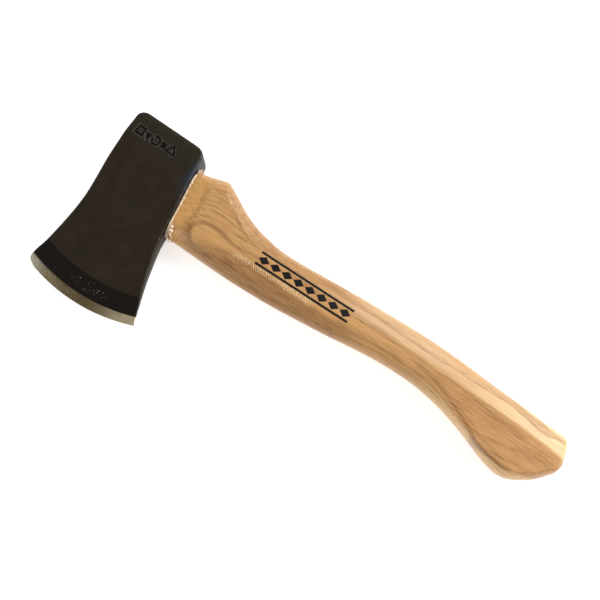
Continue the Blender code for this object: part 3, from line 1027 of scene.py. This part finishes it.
def ornament_mask(tree, place):
    """Where the ink lies: a little ragged at its borders, and worn in places."""
    x, y, z = parts(tree, place)
    x = calc(tree, "SUBTRACT", x, ORNAMENT_MIDDLE[0])
    y = calc(tree, "SUBTRACT", y, ORNAMENT_MIDDLE[1])
    cos, sin = math.cos(ORNAMENT_TURN), math.sin(ORNAMENT_TURN)
    along = calc(tree, "ADD", product(tree, x, cos), product(tree, y, sin))
    across = calc(tree, "SUBTRACT", product(tree, y, cos), product(tree, x, sin))
    up = calc(tree, "ABSOLUTE", across)
    step = ORNAMENT_LENGTH / DIAMOND_COUNT
    steps = calc(tree, "FRACT", calc(tree, "MULTIPLY_ADD", along, 1 / step, DIAMOND_COUNT / 2))
    beside = product(tree, calc(tree, "ABSOLUTE", calc(tree, "SUBTRACT", steps, 0.5)), step)
    reach = calc(tree, "ADD", calc(tree, "DIVIDE", beside, DIAMOND_HALF[0]),
                 calc(tree, "DIVIDE", up, DIAMOND_HALF[1]))
    diamond = product(tree, calc(tree, "SUBTRACT", reach, 1.0), DIAMOND_HALF[1])
    from_bar = calc(tree, "ABSOLUTE", calc(tree, "SUBTRACT", up, BAR_OFFSET))
    outside = calc(tree, "MINIMUM", diamond, calc(tree, "SUBTRACT", from_bar, BAR_HALF))
    past_end = calc(tree, "SUBTRACT", calc(tree, "ABSOLUTE", along), ORNAMENT_LENGTH / 2)
    outside = calc(tree, "MAXIMUM", outside, past_end)
    outside = ruffle(tree, outside, 0.5, place, 0.5, (3, 1, 1))
    worn = ease(tree, blotches(tree, place, 0.7, (5, 1, 1), detail=4.0), 0.24, 0.36, 0.75, 1.0)
    return product(tree, ease(tree, outside, INK_BLUR, -INK_BLUR), on_top(tree, z), worn)


print("ornament:", DIAMOND_COUNT, "diamonds over", ORNAMENT_LENGTH, "mm")

# %% [markdown]
# Two figures of the wood need masks of their own. Where the flat cuts through the years, one of
# them shows as a long arch with a rounded end towards the head. Along the belly ridge the plane
# skipped, and left a comb of short ripples across the grain, which makers call chatter. The
# ripples go into the bump, and their pale strokes are painted highlight, the lacquer's glints.

# %% The arch and the chatter
ARCH_MIDDLE = (62.0, -11.3)           # where its rounded end begins; all in millimetres
ARCH_REACH = 12.5                     # how far the end reaches towards the head
ARCH_HALF = [(50, 8.8), (62, 8.8), (74, 7.2), (86, 5.6), (110, 4.6), (160, 5.0), (240, 5.0)]
CHATTER_START, CHATTER_STOP = 78.0, 146.0     # along the handle
CHATTER_FADE = 8.0
CHATTER_Y, CHATTER_SLOPE = -9.4, 0.03         # the comb's middle line
CHATTER_HALF, CHATTER_STEP = 2.7, 1.5
STROKE_LEAN = 0.7


def outside_arch(tree, place):
    """How far a point lies outside the arch, in millimetres and below 0 within it."""
    x, y, _ = parts(tree, place)
    half = curve_along(tree, x, ARCH_HALF)
    ahead = calc(tree, "MINIMUM", calc(tree, "SUBTRACT", x, ARCH_MIDDLE[0]), 0.0)
    ahead = calc(tree, "DIVIDE", ahead, ARCH_REACH)
    aside = calc(tree, "DIVIDE", calc(tree, "SUBTRACT", y, ARCH_MIDDLE[1]), half)
    outside = product(tree, calc(tree, "SUBTRACT", distance(tree, ahead, aside), 1.0), half)
    return ruffle(tree, outside, 1.6, place, 4.0, (2, 1, 1), detail=2.0)


def chatter_and_glint_mask(tree, place):
    """Short strokes across the grain along the belly ridge: ripples in the bump, painted highlight in the
    colour.
    """
    x, y, z = parts(tree, place)
    middle = calc(tree, "MULTIPLY_ADD", calc(tree, "SUBTRACT", x, CHATTER_START),
                  CHATTER_SLOPE, CHATTER_Y)
    off = ruffle(tree, calc(tree, "ABSOLUTE", calc(tree, "SUBTRACT", y, middle)), 4.0, place, 3.0)
    slant = ruffle(tree, calc(tree, "MULTIPLY_ADD", y, STROKE_LEAN, x), 2.4, place, 3.0)
    turns = product(tree, slant, 2 * math.pi / CHATTER_STEP)
    return product(tree, ease(tree, off, CHATTER_HALF, CHATTER_HALF * 0.4),
                   between(tree, x, CHATTER_START + CHATTER_FADE, CHATTER_STOP - CHATTER_FADE,
                           CHATTER_FADE), on_top(tree, z),
                   ease(tree, calc(tree, "SINE", turns), 0.1, 0.8),
                   ease(tree, blotches(tree, place, 1.4, detail=2.0), 0.38, 0.56, 0.15, 1.0))


print("the arch starts", ARCH_MIDDLE[0] - ARCH_REACH, "mm along the handle")

# %% [markdown]
# Hickory is honey-coloured with a browner heart. Over that lies painted light and shade: the
# rounds are painted paler than the flat at the foot and on the grip's back, as highlight, and
# browner at the throat, as shade, with painted shade lines along some ridges. One table lists
# these broad tones along the handle, real and painted, from the head to the foot. Each is placed
# by how far a point lies past the back ridge or the belly ridge, from the head or outside the arch.

# %% Tones of the hickory
HEAD_LEAN = 0.168                     # the slant of the head's underside across the handle
LINE_SLANT, LINE_START = -0.06, 17.4  # the painted shade line crosses the foot's belly ridge
HICKORY_TONES_AND_PAINTED_LIGHT = [
    ((214, 158, 84), 0.4, (ease, "head", 47.0, 44.5)),                # collar beside the head
    ((144, 92, 40), 1.0, (ease, "arch", -0.8, 0.6), (ease, "arch", 6.0, 1.0),      # brown heart
     (ease, "y", -4.0, -11.0, 0.12, 0.8), (ease, "x", 130.0, 90.0)),
    ((122, 76, 32), 0.75, (near, "arch", 0.0, 1.9), (ease, "x", 100.0, 70.0)),     # its border
    ((130, 82, 30), 0.72, (ease, "belly", -2.5, 2.0), (between, "x", 78.0, 160.0, 30.0)),  # painted shade on the throat's belly
    ((158, 110, 66), 0.4, (ease, "back", 0.5, -1.0), (ease, "x", 190.0, 240.0)),   # foot's flat
    ((252, 226, 176), 0.72, (ease, "back", 0.0, 1.5), (ease, "x", 215.0, 325.0)),  # painted highlight on the foot's back
    ((248, 206, 142), 0.6, (ease, "belly", 0.0, 1.5), (ease, "x", 205.0, 250.0)),  # painted light on the foot's belly round
    ((240, 214, 176), 0.36, (ease, "back", 1.0, 5.0), (between, "x", 175.0, 225.0, 30.0)),  # painted sheen on the grip's back
    ((136, 92, 46), 0.42, (near, "belly", -1.0, 4.0), (between, "x", 168.0, 205.0, 14.0)),  # painted shade along the belly ridge
    ((156, 108, 60), 0.45, (near, "y", -2.5, 6.5), (between, "x", 258.0, 288.0, 16.0)),    # foot's middle
    ((120, 72, 22), 0.9, (near, "line", 0.0, 2.1), (between, "x", 226.0, 298.0, 12.0)),    # painted shade line on the foot's belly ridge
    ((150, 98, 46), 0.45, (near, "belly", -4.6, 2.0), (between, "x", 226.0, 290.0, 12.0)),  # and a softer painted shade line
    ((152, 104, 54), 0.7, (near, "back", 0.0, 1.3), (between, "x", 54.0, 88.0, 6.0)),      # painted shade line on the shoulder's edge
    ((160, 112, 60), 1.0, (ease, "back", 0.0, 1.0), (ease, "x", 48.0, 56.0),       # painted shade on the throat's back
     (ease, "x", 200.0, 84.0, 0.25, 0.75)),
    ((158, 106, 54), 0.6, (near, "head", 46.4, 3.0), (between, "y", -5.0, 15.0, 4.0)),     # step by the head
]


def handle_coordinates(tree, place):
    """Where a point of the handle lies in millimetres, by the names in the table of tones."""
    x, y, _ = parts(tree, place)
    belly = calc(tree, "SUBTRACT", curve_along(tree, x, RIDGE_BELLY), y)
    return {"x": x, "y": y, "belly": belly, "arch": outside_arch(tree, place),
            "back": calc(tree, "SUBTRACT", y, curve_along(tree, x, RIDGE_BACK)),
            "head": calc(tree, "MULTIPLY_ADD", y, HEAD_LEAN, x),
            "line": calc(tree, "ADD", belly, calc(tree, "MULTIPLY_ADD", x, LINE_SLANT, LINE_START))}


print(len(HICKORY_TONES_AND_PAINTED_LIGHT), "tones along the handle")

# %% [markdown]
# Over the broad tones lies the fine grain: streaks and threads that run the whole length, the
# porous line of each year, short dark pores, and fibres. The chatter's painted highlights and
# the ink come last. What darkens the colour also lowers the surface in the bump, and a thin
# clear coat lies over all of it except the dull ink.

# %% Hickory
COAT = 0.3                            # how strong the lacquer is where there is no ink


def hickory_colour(tree, place, rings):
    """The wood's colour with the table's painted light and shade, without the chatter and the ink."""
    where = handle_coordinates(tree, place)
    colour = mix(tree, blotches(tree, place, 22, (4, 1, 1), detail=2.0),
                 paint(190, 140, 78), paint(210, 163, 103))
    colour = tint(tree, colour, (192, 138, 84), rings["Year"], 0.45)
    colour = lay_tones(tree, colour, HICKORY_TONES_AND_PAINTED_LIGHT, where)
    streaks = ease(tree, blotches(tree, place, 1.3, (34, 1, 1), detail=2.0), 0.36, 0.64)
    colour = tint(tree, colour, (156, 106, 54), streaks, 0.22)
    threads = ease(tree, blotches(tree, place, 0.7, (60, 1, 1), detail=1.0), 0.5, 0.62)
    colour = tint(tree, colour, (138, 90, 42), threads, ease(tree, where["x"], 60.0, 110.0), 0.22)
    colour = tint(tree, colour, (148, 98, 48), rings["Early"],
                  ease(tree, where["head"], 46.0, 56.0, 0.06, 0.48))
    colour = tint(tree, colour, (100, 62, 28), rings["Pores"], 0.8)
    hatch = ease(tree, blotches(tree, place, 0.9, (9, 1, 1), detail=1.5), 0.54, 0.66)
    colour = tint(tree, colour, (142, 92, 44), hatch, ease(tree, where["back"], 0.0, -1.5),
                  between(tree, where["head"], 48.5, 84.0, 3.0),
                  ease(tree, where["arch"], 0.5, 2.0), 0.5)
    return tint(tree, colour, (230, 184, 124), rings["Fibre"], 0.3)


def hickory_finish():
    material, tree, shader = new_material("lacquered_hickory", Coat_Roughness=0.24,
                                          Specular_IOR_Level=0.35)
    place = millimetres(tree)
    rings = use_group(tree, RINGS, Place=place, Spacing=1.9)
    chatter_and_glints = chatter_and_glint_mask(tree, place)
    ink = ornament_mask(tree, place)
    # painted highlight: the chatter strokes are lightened where the lacquer glints on them
    colour = tint(tree, hickory_colour(tree, place, rings), (255, 232, 188), chatter_and_glints, 0.75)
    colour = tint(tree, colour, (3, 2, 1), ink)
    height = calc(tree, "MULTIPLY_ADD", rings["Pores"], -0.55, product(tree, rings["Fibre"], 0.3))
    height = calc(tree, "MULTIPLY_ADD", rings["Early"], -0.2, height)
    height = calc(tree, "MULTIPLY_ADD", chatter_and_glints, 0.9, height)
    gloss = calc(tree, "MULTIPLY_ADD", rings["Pores"], 0.2, 0.38)
    gloss = calc(tree, "MULTIPLY_ADD", blotches(tree, place, 6.0, (4, 1, 1)), 0.15, gloss)
    gloss = calc(tree, "MULTIPLY_ADD", ink, 0.3, gloss)
    coat = calc(tree, "MULTIPLY_ADD", ink, -COAT, COAT)
    plug(tree, shader, Base_Color=colour, Roughness=gloss, Coat_Weight=coat,
         Normal=bump(tree, height, 0.12))
    return material


cover(handle, hickory_finish())
print("finished", handle.name)

# %% [markdown]
# The head has three finishes, in order from the poll: dull brown-black scale, a darker band with
# more gloss where the bit was hardened and wiped with oil, and the bare ground bevel. How far a
# point lies from the edge picks the finish. It is worked out from the point's place with the
# same arc that bends the rows of the mesh, so the ground finish meets the crease of the bevel.

# %% Forged steel
BAND_TOP, BAND_BLUR = -74.5, 0.4      # the hardened band's upper border, in millimetres
GLINT_MIDDLE, GLINT_REACH = (17.0, -81.0), (16.0, 4.0)
SCALE_TONES_AND_PAINTED_REFLECTION = [
    ((40, 37, 25), 0.5, (ease, "y", 0.0, 34.0)),                          # olive to the poll
    ((62, 55, 46), 0.5, (ease, "speckle", 0.52, 0.72)),
    ((40, 48, 60), 0.8, (ease, "x", 24.0, 29.0), (ease, "y", -5.0, 22.0)),     # painted bluish reflection on the underside
    ((17, 12, 9), 0.92, (ease, "border", BAND_TOP + BAND_BLUR, BAND_TOP - BAND_BLUR)),
]
BEVEL_TONES_AND_PAINTED_REFLECTIONS = [
    ((156, 156, 142), 0.7, (ease, "x", -6.0, -26.0)),                     # painted reflection, lighter towards the top
    ((250, 230, 190), 0.8, (ease, "x", 22.0, 52.0)),                      # painted reflection, pale gold towards the heel
    ((150, 142, 118), 0.35, (ease, "patches", 0.45, 0.65)),
]


def arc_place(tree, x, y):
    """Where each point's row lies, in millimetres, as in the mesh of the head."""
    across = calc(tree, "SUBTRACT", x, EDGE_CENTRE_X / MM)
    square = product(tree, across, across)
    inside = calc(tree, "SQRT", calc(tree, "SUBTRACT", (EDGE_RADIUS / MM) ** 2, square))
    return calc(tree, "SUBTRACT", calc(tree, "ADD", y, inside), EDGE_RADIUS / MM)


def glint_mask(tree, place, x, row):
    """Small bright flecks around one place in the band."""
    off = [calc(tree, "DIVIDE", calc(tree, "SUBTRACT", value, middle), reach)
           for value, middle, reach in zip((x, row), GLINT_MIDDLE, GLINT_REACH)]
    flecks = ease(tree, blotches(tree, place, 1.3, detail=3.0), 0.60, 0.72)
    squares = calc(tree, "ADD", *[product(tree, part, part) for part in off])
    return product(tree, flecks, ease(tree, squares, 1.2, 0.2))


def wear_and_burr_highlight_mask(tree, place):
    """Rubbed corners, and a painted highlight on the burr around the punched marks."""
    corners = use_group(tree, WEAR, Place=place, Size=2.0, Amount=0.34)["Mask"]
    burr = add_node(tree, "Attribute", attribute_name="burr").outputs["Fac"]
    burr_highlight_patches = ease(tree, blotches(tree, place, 1.4), 0.36, 0.6, 0.05, 0.45)
    return calc(tree, "MAXIMUM", corners, product(tree, burr, burr_highlight_patches))


def forged_finish():
    material, tree, shader = new_material("forged_steel", Specular_IOR_Level=0.16)
    place = millimetres(tree)
    x, y, _ = parts(tree, place)
    row = arc_place(tree, x, y)
    speckle = blotches(tree, place, 0.9, detail=4.0, roughness=0.7)
    where = {"x": x, "y": y, "speckle": speckle, "border": ruffle(tree, row, 2.2, place, 5.0),
             "patches": blotches(tree, place, 9)}
    lines = use_group(tree, SCRATCHES, Place=place, Stretch=(1, 9, 1), Size=0.45)["Lines"]
    sunk = add_node(tree, "Attribute", attribute_name="sunk").outputs["Fac"]
    band = ease(tree, where["border"], BAND_TOP + BAND_BLUR, BAND_TOP - BAND_BLUR)
    ground = ease(tree, row, BEVEL_Y / MM + 0.25, BEVEL_Y / MM - 0.05)
    glints = glint_mask(tree, place, x, row)
    worn = wear_and_burr_highlight_mask(tree, place)
    cloud = ease(tree, blotches(tree, place, 12, detail=4.0, roughness=0.6), 0.35, 0.65)
    colour = mix(tree, cloud, paint(36, 28, 18), paint(43, 34, 23))
    colour = lay_tones(tree, colour, SCALE_TONES_AND_PAINTED_REFLECTION, where)
    colour = tint(tree, colour, (168, 160, 148), glints, 0.8)
    # painted shade: the punched recesses are painted nearly black
    colour = tint(tree, colour, (5, 4, 3), sunk, 0.95)
    # worn corners, and a painted highlight on the burr around the punched marks
    colour = tint(tree, colour, (112, 108, 100), worn)
    bevel = mix(tree, lines, paint(96, 82, 58), paint(150, 132, 96))
    colour = mix(tree, ground, colour, lay_tones(tree, bevel, BEVEL_TONES_AND_PAINTED_REFLECTIONS, where))
    rough = calc(tree, "MULTIPLY_ADD", speckle, 0.30, 0.34)
    for mask, change in ((band, -0.20), (glints, -0.15), (ground, -0.12)):
        rough = calc(tree, "MULTIPLY_ADD", mask, change, rough)
    height = calc(tree, "MULTIPLY_ADD", lines, ease(tree, ground, 0.0, 1.0, 0.0, 0.5), speckle)
    height = calc(tree, "MULTIPLY_ADD", glints, -0.8, height)
    plug(tree, shader, Base_Color=colour, Roughness=rough,
         Metallic=calc(tree, "MAXIMUM", ground, product(tree, worn, 0.8)),
         Normal=bump(tree, height, 0.035))
    return material


cover(head, forged_finish())
print("finished", head.name)

# %% [markdown]
# The small pieces get their own finishes: raw pale wood for the lip and the curls, which have no
# lacquer, a softer wood with crushed fibres for the wedge, and grey steel with rust in its dents
# for the two steel wedges.

# %% Raw wood, wedge wood and wedge steel
def raw_wood_finish(name, light, dark, spacing):
    material, tree, shader = new_material(name, Specular_IOR_Level=0.25)
    place = millimetres(tree)
    rings = use_group(tree, RINGS, Place=place, Spacing=spacing)
    fuzz = blotches(tree, place, 0.5, (3, 1, 1), detail=4.0, roughness=0.7)
    colour = mix(tree, ease(tree, fuzz, 0.3, 0.7), dark, light)
    colour = mix(tree, product(tree, rings["Early"], 0.5), colour, dark)
    rough = calc(tree, "MULTIPLY_ADD", fuzz, 0.25, 0.6)
    plug(tree, shader, Base_Color=colour, Roughness=rough, Normal=bump(tree, fuzz, 0.15))
    return material


def wedge_steel_finish():
    material, tree, shader = new_material("wedge_steel")
    place = millimetres(tree)
    lines = use_group(tree, SCRATCHES, Place=place, Stretch=(6, 1, 1), Size=0.3)["Lines"]
    worn = use_group(tree, WEAR, Place=place, Size=1.2, Amount=0.8)["Mask"]
    rust = ease(tree, blotches(tree, place, 2.2, detail=4.0), 0.48, 0.66)
    colour = mix(tree, lines, paint(96, 92, 88), paint(142, 138, 132))
    colour = tint(tree, colour, (92, 58, 36), rust, 0.7)
    colour = tint(tree, colour, (176, 172, 166), worn)
    metal = calc(tree, "MULTIPLY_ADD", rust, -0.8, 1.0)
    rough = calc(tree, "MULTIPLY_ADD", rust, 0.35, 0.32)
    plug(tree, shader, Base_Color=colour, Metallic=metal, Roughness=rough,
         Normal=bump(tree, lines, 0.06))
    return material


shaved = raw_wood_finish("shaved_wood", paint(252, 240, 218), paint(226, 198, 158), 3.1)
wedge_wood = raw_wood_finish("wedge_wood", paint(206, 172, 124), paint(150, 112, 70), 1.6)
steel = wedge_steel_finish()
for piece, material in [(lip, shaved), (curls, shaved), (wood_wedge, wedge_wood)] + [
        (wedge, steel) for wedge in steel_wedges]:
    cover(piece, material)
print("finished the small pieces")

# %% [markdown]
# Last, each piece is attached to the body it moves with, and where it stands for a solid of the
# model, that solid is hidden. The hatchet is one rigid body, so all of them ride on the root.

# %% Fit the pieces to the frame
for piece, node, slot in [(head, "head", "head"), (handle, "handle", "handle"),
                          (wood_wedge, "wood_wedge", "wood_wedge"),
                          (steel_wedges[0], "steel_wedge_front", "steel_wedge"),
                          (steel_wedges[1], "steel_wedge_back", "steel_wedge")]:
    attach(piece, "root")
    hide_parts(node)
for piece in (lip, curls):
    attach(piece, "root")
